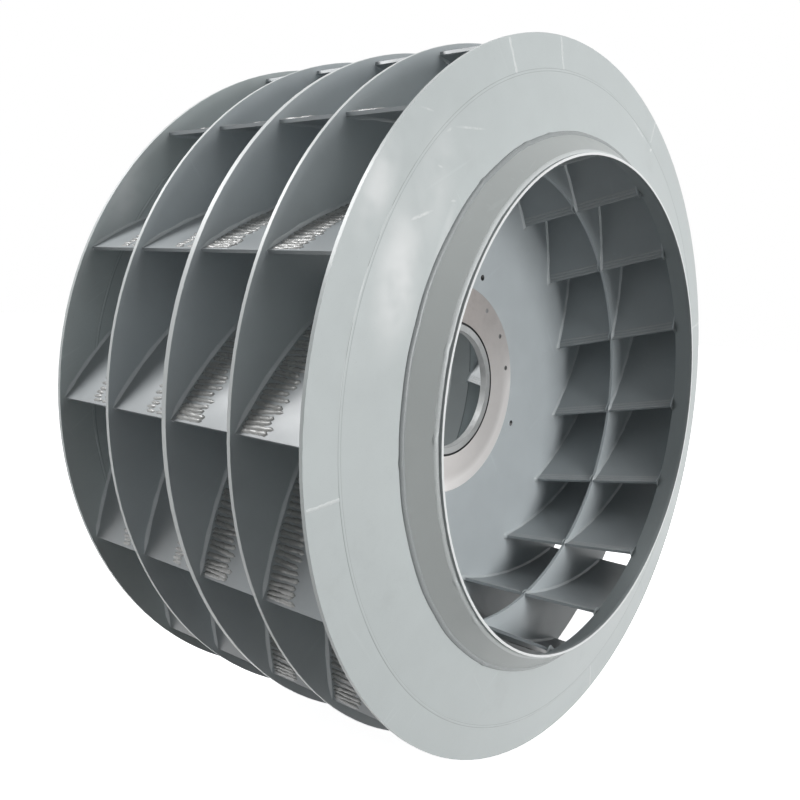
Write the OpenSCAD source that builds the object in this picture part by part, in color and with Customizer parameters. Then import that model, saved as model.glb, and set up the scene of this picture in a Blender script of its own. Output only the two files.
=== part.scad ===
// Double-inlet centrifugal fan impeller, welded from steel plate.
// The wheel axis runs along Y. The front inlet faces -Y and +Z is up.
// The origin is the centre of the bore, in the middle plane of the centre disc.

/* [Wheel] */
// Outside diameter of the discs and shrouds
wheel_d = 1600; // [1560:5:1680]
// Width of the wheel over both inlet lips
wheel_w = 872; // [852:2:900]
// Middle plane of the centre disc to the middle plane of a mid ring
ring_offset = 180; // [165:1:195]

/* [Plates] */
// Thickness of the centre disc
disc_t = 12; // [10:0.5:16]
// Thickness of a mid ring
ring_t = 8; // [6:0.5:12]
// Thickness of a shroud plate, measured along the axis
shroud_t = 8; // [6:0.5:12]
// Thickness of a blade
blade_t = 7; // [5:0.5:10]

/* [Blades] */
// Number of blades in each bay
blade_count = 16; // [12:1:18]
// Middle of the blades' square-cut outer ends, in from the wheel's rim
blade_inset = 13; // [8:1:20]
// Radius of the blades' circular arc
blade_arc_r = 894; // [850:2:950]
// Angle between a blade's outer end and the rim
blade_exit_angle = 33; // [30:0.5:36]
// Angular place of the first blade's outer end
first_blade_angle = 0.5; // [-5:0.5:5]
// Leading edges at the centre disc, in from the inlet's clear radius
leading_edge_inset = 15; // [8:1:25]
// Growth of the leading edge's radius for each millimetre away from the disc
leading_edge_slope = 0.11; // [0.09:0.005:0.13]
// Inner edge of a mid ring, in from the leading edges that it carries
ring_lip = 1; // [1:1:6]

/* [Shrouds] */
// Radial width of the flat outer flange
flange_w = 71; // [60:1:80]
// Rise of the flange from its rim to the fold
flange_rise = 5; // [3:0.5:8]
// Rise of the cone from the fold to the collar
cone_rise = 17; // [13:0.5:20]

/* [Inlets] */
// Clear diameter of the inlet at its lip
eye_d = 1112; // [1090:2:1130]
// Back edge of the inlet cone, out from the inlet's clear radius
liner_flare = 28; // [22:1:34]
// Wall of the inlet cone, measured across the axis
liner_wall = 5; // [4:0.5:8]
// Foot of the collar that wraps the inlet cone, out from the inlet's clear radius
collar_flare = 47; // [45:1:54]
// Wall of the collar at its front edge, measured across the axis
collar_wall = 5; // [4:0.5:8]
// Lip of the inlet, in front of the collar's foot
lip_height = 56; // [48:1:64]
// Lip of the inlet, in front of the collar's own front edge
lip_stand = 12; // [8:1:16]
// Straight part of the inlet at its lip
lip_straight = 8; // [4:1:12]

/* [Hub] */
// Diameter of the bore
bore_d = 304; // [290:2:330]
// Radial wall of the bore sleeve
sleeve_wall = 18; // [12:1:24]
// Groove between the sleeve and a facing ring
groove_w = 4; // [2:0.5:6]
// Radial width of a machined facing ring
facing_w = 96; // [86:1:110]
// Thickness of a machined facing ring
facing_t = 4; // [3.5:0.5:6]
// Chamfer on the turned edges of the hub
hub_chamfer = 1; // [0.5:0.25:1.5]
// Number of screw groups in each facing ring
screw_groups = 2; // [1:1:3]
// Number of screws in a group
screws_in_group = 3; // [1:1:4]
// Angle from one screw of a group to the next
screw_pitch = 22.5; // [15:0.5:25]
// Screw circle, in from the facing ring's outer edge
screw_edge = 24; // [18:1:32]
// Angular place of the first screw of a group
screw_angle = 10.3; // [0:0.1:22]
// Diameter of a screw head
screw_head_d = 13; // [10:0.5:16]
// Height of a screw head
screw_head_h = 2.5; // [1.5:0.25:2.5]
// Diameter of a screw shank
screw_shank_d = 8; // [5:0.5:9]
// Depth of a screw head below the facing ring's face
screw_recess = 0.5; // [0.2:0.1:0.8]
// Reach of a screw into the centre disc
screw_reach = 4.5; // [3:0.5:4.5]
// Circle of the lifting holes in the centre disc
lifting_pcd = 624; // [600:2:660]
// Number of lifting holes
lifting_count = 4; // [2:1:8]
// Diameter of a lifting hole
lifting_hole_d = 16; // [10:1:22]
// Angular place of the first lifting hole
lifting_angle = 67.8; // [60:0.1:75]

/* [Fits] */
// Gap left for the weld root between a blade and a sloping plate
weld_gap = 0.2; // [0.1:0.1:0.5]
// Clearance around pressed and screwed parts
seat_gap = 0.1; // [0.05:0.05:0.2]

/* [Hidden] */
wheel_r = wheel_d / 2;
disc_face = disc_t / 2;
eye_r = eye_d / 2;
blade_tip_r = wheel_r - blade_inset;
blade_pitch = 360 / blade_count;
leading_edge_r = eye_r - leading_edge_inset;

// Arc of the first blade before it is turned into place, its outer end on the X axis
arc_centre = [
    blade_tip_r - blade_arc_r * cos(blade_exit_angle),
    blade_arc_r * sin(blade_exit_angle)
];
arc_outer_r = blade_arc_r + blade_t / 2;
// Radius inside every leading edge, where the blades' rough strips start
inner_limit_r = leading_edge_r - 2 * blade_t;

// Outer surface of the front shroud, from the inlet lip back to the rim
lip_face = wheel_w / 2;
base_face = lip_face - lip_height;
fold_face = base_face - cone_rise;
rim_face = fold_face - flange_rise;
fold_r = wheel_r - flange_w;
base_r = eye_r + collar_flare;
cone_slope = cone_rise / (fold_r - base_r);

// The inlet cone runs from the shroud's inner face to the straight lip
liner_base_r = eye_r + liner_flare;
liner_back = base_face + cone_slope * (base_r - liner_base_r) - shroud_t;
liner_length = lip_face - lip_straight - liner_back;
liner_slope = (liner_base_r - eye_r) / liner_length;
collar_face = lip_face - lip_stand;

// The hub, from the bore outwards
bore_r = bore_d / 2;
sleeve_r = bore_r + sleeve_wall;
facing_bore_r = sleeve_r + groove_w;
facing_r = facing_bore_r + facing_w;
facing_face = disc_face + facing_t;
screw_circle_r = facing_r - screw_edge;

// Round surfaces
$fn = 180;
small_fn = 32;
hex_sides = 6;
hex_share = 0.5;
hex_depth_share = 0.6;
// Extra length that carries a cut past the face it opens
past = 1;

BLADE_NAMES = [for (i = [1:blade_count]) str(i < 10 ? "0" : "", i)];

// Radius of the leading edge at a distance from the wheel's middle plane
function leading_r(z) = leading_edge_r + leading_edge_slope * (z - disc_face);

// Angle round the arc's centre at which the blade's outer face reaches a radius of the wheel
function arc_angle(r) =
    let (away = norm(arc_centre))
    let (share = (pow(away, 2) + pow(arc_outer_r, 2) - pow(r, 2)) / (2 * away * arc_outer_r))
    atan2(arc_centre[1], arc_centre[0]) - 180 + acos(share);

// Angle between a blade and the wheel's tangent, where its outer face reaches a radius
function blade_angle(r) =
    acos((pow(r, 2) + pow(arc_outer_r, 2) - pow(norm(arc_centre), 2)) / (2 * r * arc_outer_r));

// Outer face of the cone part of a shroud, at a radius
function cone_face(r) = fold_face + cone_slope * (fold_r - r);

// Inner radius of the inlet cone, at a distance from the middle plane
function liner_r(z) = liner_base_r - liner_slope * (z - liner_back);

// Radius at which the inlet cone's outer surface meets a face that slopes as the shroud does
function liner_meets(height_at_fold) =
    let (height_above = height_at_fold + cone_slope * fold_r - liner_back)
    (liner_base_r + liner_wall + seat_gap - liner_slope * height_above)
    / (1 - liner_slope * cone_slope);

// Everything is drawn with the axis along +Z and is then laid along -Y
module lay_along_axis() {
    rotate([90, 0, 0]) children();
}

module on_side(side) {
    lay_along_axis()
        if (side == "front") children();
        else mirror([0, 0, 1]) children();
}

module ring(outer_r, inner_r, thickness) {
    difference() {
        cylinder(r = outer_r, h = thickness);
        translate([0, 0, -past]) cylinder(r = inner_r, h = thickness + 2 * past);
    }
}

// Flat disc that carries the hub, with lifting holes and blind screw holes
module centre_disc() {
    color([0.70, 0.73, 0.74])
    lay_along_axis()
    difference() {
        translate([0, 0, -disc_face]) ring(wheel_r, sleeve_r + seat_gap, disc_t);
        for (i = [0:lifting_count - 1])
            rotate(lifting_angle + i * 360 / lifting_count)
                translate([lifting_pcd / 2, 0, -disc_face - past])
                    cylinder(d = lifting_hole_d, h = disc_t + 2 * past, $fn = small_fn);
        at_screws() screw_holes_in_disc();
    }
}

module screw_holes_in_disc() {
    for (flip = [0, 1])
        mirror([0, 0, flip])
            translate([0, 0, disc_face - screw_reach - seat_gap])
                cylinder(
                    d = screw_shank_d + 2 * seat_gap,
                    h = screw_reach + seat_gap + past,
                    $fn = small_fn
                );
}

module at_screws() {
    for (group = [0:screw_groups - 1])
        for (i = [0:screws_in_group - 1])
            rotate(screw_angle + group * 360 / screw_groups + i * screw_pitch)
                translate([screw_circle_r, 0, 0]) children();
}

// Flat ring between the two bays of one half
module mid_ring(side) {
    color([0.66, 0.69, 0.70])
    on_side(side)
    translate([0, 0, ring_offset - ring_t / 2])
        ring(wheel_r, leading_r(ring_offset) - ring_lip, ring_t);
}

// Outer flange of a shroud, welded to the cone at the fold
module flange(side) {
    color([0.78, 0.80, 0.80])
    on_side(side)
    rotate_extrude()
        polygon([
            [fold_r, fold_face - shroud_t],
            [wheel_r, rim_face - shroud_t],
            [wheel_r, rim_face],
            [fold_r, fold_face]
        ]);
}

// Cone of a shroud, from the fold in to the inlet cone
module shroud_cone(side) {
    top_r = liner_meets(fold_face);
    back_r = liner_meets(fold_face - shroud_t);
    color([0.76, 0.78, 0.78])
    on_side(side)
    rotate_extrude()
        polygon([
            [back_r, cone_face(back_r) - shroud_t],
            [fold_r, fold_face - shroud_t],
            [fold_r, fold_face],
            [top_r, cone_face(top_r)]
        ]);
}

// Rolled inlet cone with a short straight lip
module inlet(side) {
    color([0.60, 0.63, 0.64])
    on_side(side)
    rotate_extrude()
        polygon([
            [liner_r(liner_back), liner_back],
            [liner_r(liner_back) + liner_wall, liner_back],
            [eye_r + liner_wall, lip_face - lip_straight],
            [eye_r + liner_wall, lip_face],
            [eye_r, lip_face],
            [eye_r, lip_face - lip_straight]
        ]);
}

// Collar wrapped round the inlet cone and welded to the shroud
module collar(side) {
    front_r = liner_r(min(collar_face, lip_face - lip_straight)) + liner_wall + seat_gap;
    inner_r = liner_meets(fold_face + seat_gap);
    color([0.62, 0.65, 0.66])
    on_side(side)
    rotate_extrude()
        polygon([
            [inner_r, cone_face(inner_r) + seat_gap],
            [base_r, base_face + seat_gap],
            [front_r + collar_wall, collar_face],
            [front_r, collar_face]
        ]);
}

// Machined ring screwed to the centre disc round the bore
module facing(side) {
    color([0.80, 0.78, 0.76])
    on_side(side)
    difference() {
        rotate_extrude()
            polygon([
                [facing_bore_r, disc_face],
                [facing_r, disc_face],
                [facing_r, facing_face - hub_chamfer],
                [facing_r - hub_chamfer, facing_face],
                [facing_bore_r + hub_chamfer, facing_face],
                [facing_bore_r, facing_face - hub_chamfer]
            ]);
        at_screws() screw_hole_in_facing();
    }
}

module screw_hole_in_facing() {
    head_seat = facing_face - screw_recess - screw_head_h;
    translate([0, 0, head_seat])
        cylinder(d = screw_head_d + 2 * seat_gap, h = facing_t, $fn = small_fn);
    translate([0, 0, disc_face - past])
        cylinder(d = screw_shank_d + 2 * seat_gap, h = facing_t, $fn = small_fn);
}

// Turned sleeve pressed into the centre disc
module hub_sleeve() {
    color([0.82, 0.81, 0.80])
    lay_along_axis()
    rotate_extrude()
        polygon([
            [bore_r, -facing_face + hub_chamfer],
            [bore_r + hub_chamfer, -facing_face],
            [sleeve_r - hub_chamfer, -facing_face],
            [sleeve_r, -facing_face + hub_chamfer],
            [sleeve_r, facing_face - hub_chamfer],
            [sleeve_r - hub_chamfer, facing_face],
            [bore_r + hub_chamfer, facing_face],
            [bore_r, facing_face - hub_chamfer]
        ]);
}

// Socket screws that hold both facing rings
module hub_screws() {
    color([0.45, 0.46, 0.47])
    for (side = ["front", "rear"])
        on_side(side) at_screws() screw();
}

module screw() {
    head_seat = facing_face - screw_recess - screw_head_h;
    socket_depth = screw_head_h * hex_depth_share;
    difference() {
        union() {
            translate([0, 0, head_seat])
                cylinder(d = screw_head_d, h = screw_head_h, $fn = small_fn);
            translate([0, 0, disc_face - screw_reach])
                cylinder(
                    d = screw_shank_d,
                    h = head_seat - disc_face + screw_reach + past,
                    $fn = small_fn
                );
        }
        translate([0, 0, head_seat + screw_head_h - socket_depth])
            cylinder(d = screw_head_d * hex_share, h = socket_depth + past, $fn = hex_sides);
    }
}

// Curved strip of plate, longer than the blade at both ends
module blade_strip() {
    intersection() {
        translate(arc_centre)
            difference() {
                circle(r = arc_outer_r);
                circle(r = arc_outer_r - blade_t);
            }
        translate([0, -wheel_r]) square([wheel_r, 2 * wheel_r]);
    }
}

// Block that cuts a blade square at an angle round its arc, leaning by a tilt
module square_cut(angle, side, height, tilt) {
    translate([arc_centre[0], arc_centre[1], height])
        rotate(angle)
            rotate([tilt, 0, 0])
                translate([0, side > 0 ? 0 : -blade_arc_r, -wheel_w])
                    cube([2 * blade_arc_r, blade_arc_r, 2 * wheel_w]);
}

module beyond_outer_end() {
    square_cut(-blade_exit_angle, 1, 0, 0);
}

// The leading edge leans outwards, away from the centre disc
module beyond_leading_edge() {
    middle_r = leading_r(ring_offset);
    lean = atan(leading_edge_slope / sin(blade_angle(middle_r)));
    square_cut(arc_angle(middle_r), -1, ring_offset, -lean);
}

// Room between the centre disc and a mid ring, as a section through the axis
module inner_bay_section() {
    translate([inner_limit_r, disc_face])
        square([wheel_r - inner_limit_r, ring_offset - ring_t / 2 - disc_face]);
}

// Room between a mid ring and the shroud's inner face
module outer_bay_section() {
    back = ring_offset + ring_t / 2;
    inside = shroud_t + weld_gap;
    polygon([
        [inner_limit_r, back],
        [wheel_r, back],
        [wheel_r, rim_face - inside],
        [fold_r, fold_face - inside],
        [inner_limit_r, cone_face(inner_limit_r) - inside]
    ]);
}

// The two blades of one half at one place round the wheel
module blade(side, number) {
    color([0.55, 0.58, 0.59])
    on_side(side)
    rotate(first_blade_angle + (number - 1) * blade_pitch)
    difference() {
        intersection() {
            linear_extrude(height = lip_face) blade_strip();
            rotate_extrude() {
                inner_bay_section();
                outer_bay_section();
            }
        }
        beyond_outer_end();
        beyond_leading_edge();
    }
}

centre_disc();
mid_ring("front");  // front_mid_ring
mid_ring("rear");  // rear_mid_ring
flange("front");  // front_flange
flange("rear");  // rear_flange
shroud_cone("front");  // front_cone
shroud_cone("rear");  // rear_cone
collar("front");  // front_collar
collar("rear");  // rear_collar
inlet("front");  // front_inlet
inlet("rear");  // rear_inlet
facing("front");  // front_facing
facing("rear");  // rear_facing
hub_sleeve();
hub_screws();
for (i = [1:blade_count]) {
    blade("front", i);
    blade("rear", i);
}
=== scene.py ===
"""Looks of a welded double-inlet fan wheel, built round its CAD frame.

The wheel's axis runs along Y and its front inlet faces -Y. Lengths are in metres.
"""

import logging
import math
import random
from collections.abc import Iterable, Sequence
from dataclasses import dataclass, field
from enum import Enum
from typing import ClassVar

import bmesh
import bpy
import numpy as np
from mathutils import Matrix, Vector


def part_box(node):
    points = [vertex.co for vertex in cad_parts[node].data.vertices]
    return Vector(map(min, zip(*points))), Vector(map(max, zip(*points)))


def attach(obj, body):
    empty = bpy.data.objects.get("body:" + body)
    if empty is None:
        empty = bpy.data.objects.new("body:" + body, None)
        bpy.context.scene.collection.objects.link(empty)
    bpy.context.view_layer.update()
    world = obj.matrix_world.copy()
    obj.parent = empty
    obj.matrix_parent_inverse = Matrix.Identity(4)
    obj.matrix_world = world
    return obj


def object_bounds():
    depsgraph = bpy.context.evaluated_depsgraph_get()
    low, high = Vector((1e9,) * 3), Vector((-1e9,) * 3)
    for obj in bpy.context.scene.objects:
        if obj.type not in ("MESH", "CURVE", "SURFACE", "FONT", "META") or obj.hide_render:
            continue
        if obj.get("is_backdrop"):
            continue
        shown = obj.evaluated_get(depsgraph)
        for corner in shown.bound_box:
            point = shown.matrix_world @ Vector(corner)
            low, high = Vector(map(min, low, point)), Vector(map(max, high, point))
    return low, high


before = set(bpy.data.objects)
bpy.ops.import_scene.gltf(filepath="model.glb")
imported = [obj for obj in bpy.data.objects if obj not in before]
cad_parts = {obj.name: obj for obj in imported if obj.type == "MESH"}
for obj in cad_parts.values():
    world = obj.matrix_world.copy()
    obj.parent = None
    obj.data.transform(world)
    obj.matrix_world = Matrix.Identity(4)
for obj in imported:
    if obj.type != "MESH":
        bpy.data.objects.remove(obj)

LOG = logging.getLogger("fan_wheel")
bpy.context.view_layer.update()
SEED = 5812

Colour = tuple[float, float, float]
Value = bpy.types.NodeSocket | float | Sequence[float]


def srgb(red: int, green: int, blue: int) -> Colour:
    """Turn a colour of 0 to 255 a channel into linear light.

    Args:
        red: Red channel.
        green: Green channel.
        blue: Blue channel.

    Returns:
        The colour in linear light.
    """
    def linear(channel: int) -> float:
        """Linear light of one channel."""
        share = channel / 255
        return share / 12.92 if share <= 0.04045 else ((share + 0.055) / 1.055) ** 2.4

    return linear(red), linear(green), linear(blue)


class Side(Enum):
    """The two halves of the wheel, and the way each one faces along Y."""

    FRONT = -1
    REAR = 1


class Bay(Enum):
    """The two bays of one half."""

    INNER = "inner"
    OUTER = "outer"


@dataclass(frozen=True)
class WheelSizes:
    """Sizes of the wheel that its welds and finishes follow."""

    rim_r: float
    disc_face: float
    ring_back: float
    ring_front: float
    fold_r: float
    fold_face: float
    base_r: float
    lip_face: float
    plate: float = 0.008
    flange_rise: float = 0.005
    cone_rise: float = 0.017
    eye_r: float = 0.556
    lip_wall: float = 0.005
    lip_stand: float = 0.012
    collar_wall: float = 0.005
    blade_inset: float = 0.013
    blade_t: float = 0.007
    blade_arc_r: float = 0.894
    blade_exit: float = math.radians(33)
    first_blade: float = math.radians(0.5)
    blade_count: int = 16
    leading_edge_inset: float = 0.015
    leading_edge_slope: float = 0.11
    sleeve_r: float = 0.170
    groove_r: float = 0.174

    @classmethod
    def from_frame(cls) -> "WheelSizes":
        """Read what the frame states about the plates.

        Returns:
            The sizes of this wheel.
        """
        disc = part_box("centre_disc")[1]
        ring_low, ring_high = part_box("rear_mid_ring")
        flange_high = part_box("rear_flange")[1]
        cone_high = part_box("rear_cone")[1]
        collar_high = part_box("rear_collar")[1]
        inlet_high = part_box("rear_inlet")[1]
        return cls(
            rim_r=disc[0],
            disc_face=disc[1],
            ring_back=ring_low[1],
            ring_front=ring_high[1],
            fold_r=cone_high[0],
            fold_face=flange_high[1],
            base_r=collar_high[0],
            lip_face=inlet_high[1],
        )

    @property
    def tip_r(self) -> float:
        """Radius at the middle of the blades' outer ends."""
        return self.rim_r - self.blade_inset

    @property
    def ring_middle(self) -> float:
        """Height of a mid ring's middle plane."""
        return (self.ring_back + self.ring_front) / 2

    @property
    def base_face(self) -> float:
        """Height of the shroud's outer face at the collar."""
        return self.fold_face + self.cone_rise

    def leading_r(self, height: float) -> float:
        """Radius of the leading edges' outer corner at a height above the middle plane."""
        inner = self.eye_r - self.leading_edge_inset
        return inner + self.leading_edge_slope * (height - self.disc_face)

    def shroud_face(self, radius: float) -> float:
        """Height of a shroud's outer face, which folds where the flange meets the cone.

        Args:
            radius: Distance from the wheel's axis.

        Returns:
            The height above the wheel's middle plane.
        """
        if radius >= self.fold_r:
            slope = self.flange_rise / (self.rim_r - self.fold_r)
        else:
            slope = self.cone_rise / (self.fold_r - self.base_r)
        return self.fold_face - slope * (radius - self.fold_r)

    def shroud_inside(self, radius: float) -> float:
        """Height of a shroud's inner face at a radius."""
        return self.shroud_face(radius) - self.plate


@dataclass(frozen=True)
class BladeArc:
    """The circular arc of one blade, seen along the axis, with both ends cut square."""

    sizes: WheelSizes
    number: int

    @property
    def turn(self) -> float:
        """Angle of the blade's outer end round the wheel."""
        return self.sizes.first_blade + self.number * math.tau / self.sizes.blade_count

    @property
    def centre(self) -> np.ndarray:
        """Centre of the arc, before the blade is turned into place."""
        return np.array([
            self.sizes.tip_r - self.sizes.blade_arc_r * math.cos(self.sizes.blade_exit),
            self.sizes.blade_arc_r * math.sin(self.sizes.blade_exit),
        ])

    @property
    def outer_face_r(self) -> float:
        """Radius of the blade's outer face about the arc's centre."""
        return self.sizes.blade_arc_r + self.sizes.blade_t / 2

    @property
    def outer_end(self) -> float:
        """Angle of the outer end about the arc's centre."""
        return -self.sizes.blade_exit

    def leading_end(self, height: float) -> float:
        """Angle of the leading edge about the arc's centre.

        Args:
            height: Height above the wheel's middle plane.

        Returns:
            The angle, in radians. The edge leans outwards as the height grows.
        """
        away = float(np.hypot(*self.centre))
        face_r = self.outer_face_r
        radius = self.sizes.leading_r(self.sizes.ring_middle)
        share = (away**2 + face_r**2 - radius**2) / (2 * away * face_r)
        bearing = math.atan2(self.centre[1], self.centre[0])
        middle = bearing - math.pi + math.acos(share)
        blade_angle = math.acos((radius**2 + face_r**2 - away**2) / (2 * radius * face_r))
        lean = self.sizes.leading_edge_slope / math.sin(blade_angle)
        return middle + math.asin(lean * (height - self.sizes.ring_middle) / face_r)

    def place(self, angle: float, face: int) -> tuple[np.ndarray, np.ndarray, np.ndarray]:
        """Point on one of the blade's faces.

        Args:
            angle: Angle about the arc's centre.
            face: 1 for the face away from the arc's centre, -1 for the other.

        Returns:
            The point, the way inwards along the blade and the way out of the face, as x and z.
        """
        cosine, sine = math.cos(self.turn), math.sin(self.turn)
        rotate = np.array([[cosine, -sine], [sine, cosine]])
        out = np.array([math.cos(angle), math.sin(angle)])
        inwards = np.array([out[1], -out[0]])
        point = self.centre + (self.sizes.blade_arc_r + face * self.sizes.blade_t / 2) * out
        return rotate @ point, rotate @ inwards, rotate @ (face * out)

    def outline(self, height: float, spacing: float, corner_steps: int = 4) -> list[tuple]:
        """Walk round the blade's section at a height.

        Args:
            height: Height above the wheel's middle plane.
            spacing: Distance between points along the faces.
            corner_steps: Steps of the quarter turn at each corner.

        Returns:
            For each station the point, the way out of the metal, and the distance along the
            blade to its leading edge.
        """
        tip, lead = self.outer_end, self.leading_end(height)
        length = self.outer_face_r * (tip - lead)
        angles = np.linspace(tip, lead, max(8, round(length / spacing)))
        ring = []

        def turn_corner(point: np.ndarray, first: np.ndarray, last: np.ndarray, away: float) -> None:
            """Add a quarter turn at a corner, without its first and last direction.

            Args:
                point: The corner.
                first: Way out of the metal before the corner.
                last: Way out of the metal after the corner.
                away: Distance along the blade to its leading edge.
            """
            for step in range(1, corner_steps):
                angle = step / corner_steps * math.pi / 2
                ring.append((point, math.cos(angle) * first + math.sin(angle) * last, away))

        for angle in angles:
            point, _, out = self.place(angle, 1)
            ring.append((point, out, self.outer_face_r * (angle - lead)))
        upper, inwards, out = self.place(lead, 1)
        lower = self.place(lead, -1)[0]
        turn_corner(upper, out, inwards, 0.0)
        ring.append((upper, inwards, 0.0))
        ring.append((lower, inwards, 0.0))
        turn_corner(lower, inwards, -out, 0.0)
        for angle in angles[::-1]:
            point, _, out = self.place(angle, -1)
            ring.append((point, out, self.outer_face_r * (angle - lead)))
        upper, inwards, out = self.place(tip, 1)
        lower = self.place(tip, -1)[0]
        turn_corner(lower, -out, -inwards, length)
        ring.append((lower, -inwards, length))
        ring.append((upper, -inwards, length))
        turn_corner(upper, -inwards, out, length)
        return ring


class Graph:
    """Adds and joins nodes in one node tree."""

    # Places of the colour sockets on the Mix node
    MIX_INPUTS = (0, 6, 7)
    MIX_OUTPUT = 2

    def __init__(self, tree: bpy.types.NodeTree) -> None:
        """Keep the tree that is filled."""
        self.tree = tree

    def node(self, kind: str, **fields: object) -> bpy.types.Node:
        """Add a node.

        Args:
            kind: Blender's name of the node's type.
            **fields: Plain fields to set on it.

        Returns:
            The new node.
        """
        made = self.tree.nodes.new(kind)
        for name, value in fields.items():
            setattr(made, name, value)
        return made

    def feed(self, target: bpy.types.NodeSocket, source: Value) -> None:
        """Join a socket to another one, or give it a plain value.

        Args:
            target: The input that takes the value.
            source: A socket to join it to, or the value itself.
        """
        if isinstance(source, bpy.types.NodeSocket):
            self.tree.links.new(source, target)
        else:
            target.default_value = source

    def fill(self, made: bpy.types.Node, **values: Value) -> bpy.types.Node:
        """Feed inputs of a node by name.

        Args:
            made: The node.
            **values: Values of its inputs, with underscores for spaces.

        Returns:
            The same node.
        """
        for label, value in values.items():
            self.feed(made.inputs[label.replace("_", " ")], value)
        return made

    def run(self, kind: str, *values: Value, **fields: object) -> bpy.types.NodeSocket:
        """Add a node and feed its first inputs in order.

        Args:
            kind: Blender's name of the node's type.
            *values: Values of the inputs.
            **fields: Plain fields to set on the node.

        Returns:
            The node's first output.
        """
        made = self.node(kind, **fields)
        for socket, value in zip(made.inputs, values):
            self.feed(socket, value)
        return made.outputs[0]

    def math(self, operation: str, *values: Value) -> bpy.types.NodeSocket:
        """Result of a Math node on one, two or three values."""
        return self.run("ShaderNodeMath", *values, operation=operation)

    def vector(self, operation: str, *values: Value) -> bpy.types.NodeSocket:
        """Result of a Vector Math node that gives a vector."""
        return self.run("ShaderNodeVectorMath", *values, operation=operation)

    def measure(self, operation: str, *values: Value) -> bpy.types.NodeSocket:
        """Result of a Vector Math node that gives a number."""
        return self.vector(operation, *values).node.outputs["Value"]

    def noise(
        self, place: Value, scale: Value, detail: float = 2.0, rough: float = 0.5
    ) -> bpy.types.NodeSocket:
        """Noise of about 0 to 1 at a place."""
        made = self.node("ShaderNodeTexNoise")
        return self.fill(made, Vector=place, Scale=scale, Detail=detail, Roughness=rough).outputs[0]

    def span(self, value: Value, low: Value, high: Value) -> bpy.types.NodeSocket:
        """A value that runs smoothly from 0 at one end of a span to 1 at the other."""
        return self.run("ShaderNodeMapRange", value, low, high, interpolation_type="SMOOTHSTEP")

    def blend(self, share: Value, first: Value, second: Value) -> bpy.types.NodeSocket:
        """A mix of two colours.

        Args:
            share: Share of the second colour.
            first: The first colour.
            second: The second colour.

        Returns:
            The mixed colour.
        """
        made = self.node("ShaderNodeMix", data_type="RGBA")
        for index, value in zip(self.MIX_INPUTS, (share, first, second)):
            self.feed(made.inputs[index], value)
        return made.outputs[self.MIX_OUTPUT]

    def scaled(self, colour: Value, factor: Value) -> bpy.types.NodeSocket:
        """A colour made lighter or darker by a factor."""
        scaled = self.vector("SCALE", colour)
        return self.fill(scaled.node, Scale=factor).outputs[0]

    def bump(self, height: Value, strength: float, distance: float) -> bpy.types.NodeSocket:
        """Normal of a face that a height roughens."""
        made = self.node("ShaderNodeBump")
        return self.fill(made, Height=height, Strength=strength, Distance=distance).outputs[0]


class Effect:
    """A shader node group with named inputs and outputs."""

    KINDS = {float: "NodeSocketFloat", tuple: "NodeSocketColor", list: "NodeSocketVector"}

    def __init__(self, name: str, inputs: dict[str, object], outputs: dict[str, type]) -> None:
        """Make the empty group.

        Args:
            name: Name of the group.
            inputs: Name and starting value of each input.
            outputs: Name and type of each output.
        """
        self.tree = bpy.data.node_groups.new(name, "ShaderNodeTree")
        for label, value in inputs.items():
            socket = self.tree.interface.new_socket(
                name=label, in_out="INPUT", socket_type=self.KINDS[type(value)]
            )
            socket.default_value = value
        for label, kind in outputs.items():
            self.tree.interface.new_socket(
                name=label, in_out="OUTPUT", socket_type=self.KINDS[kind]
            )
        self.graph = Graph(self.tree)
        self.given = self.graph.node("NodeGroupInput").outputs
        self.sink = self.graph.node("NodeGroupOutput").inputs

    def give(self, label: str, source: Value) -> None:
        """Join a value to one of the group's outputs."""
        self.graph.feed(self.sink[label], source)

    def place(self, graph: Graph, **values: Value) -> dict[str, bpy.types.NodeSocket]:
        """Put the group into a material.

        Args:
            graph: The material's graph.
            **values: Values of the group's inputs, with underscores for spaces.

        Returns:
            The group's outputs by name.
        """
        made = graph.fill(graph.node("ShaderNodeGroup", node_tree=self.tree), **values)
        return {socket.name: socket for socket in made.outputs}


@dataclass(frozen=True)
class RubAndSheen:
    """One pale mark on a shroud: its middle, its turn from the X axis and its size. A narrow mark is a
    rub, and a soft one is a painted highlight.
    """

    # Half the depth of a mark along the wheel's axis, more than the whole wheel
    REACH: ClassVar[float] = 50.0

    x: float
    z: float
    turn: float
    length: float
    width: float
    strength: float
    # A soft mark is a broad pale patch of painted highlight, and the others are rubs
    soft: bool = False


# Pale marks on the shrouds: narrow rubs first, then broad soft patches of painted highlight
RUBS_AND_SHEENS = (
    RubAndSheen(-0.562, 0.371, 0.40, 0.092, 0.010, 1.0),
    RubAndSheen(-0.431, 0.541, 0.13, 0.120, 0.007, 0.6),
    RubAndSheen(-0.490, 0.525, 0.68, 0.032, 0.009, 0.7),
    RubAndSheen(-0.512, 0.460, -0.16, 0.022, 0.007, 0.6),
    RubAndSheen(-0.483, 0.405, 0.17, 0.020, 0.007, 0.6),
    RubAndSheen(-0.543, 0.551, -0.02, 0.044, 0.006, 0.4),
    RubAndSheen(0.335, 0.637, 0.40, 0.028, 0.012, 0.9),
    RubAndSheen(0.262, 0.669, -0.41, 0.120, 0.009, 0.9),
    RubAndSheen(-0.613, 0.265, -1.79, 0.340, 0.130, 0.95, soft=True),
    RubAndSheen(-0.525, 0.430, -1.85, 0.320, 0.110, 0.35, soft=True),
    RubAndSheen(-0.656, 0.409, -1.98, 0.240, 0.090, 0.75, soft=True),
    RubAndSheen(-0.509, 0.335, -1.96, 0.190, 0.030, 0.45, soft=True),
)


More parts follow.
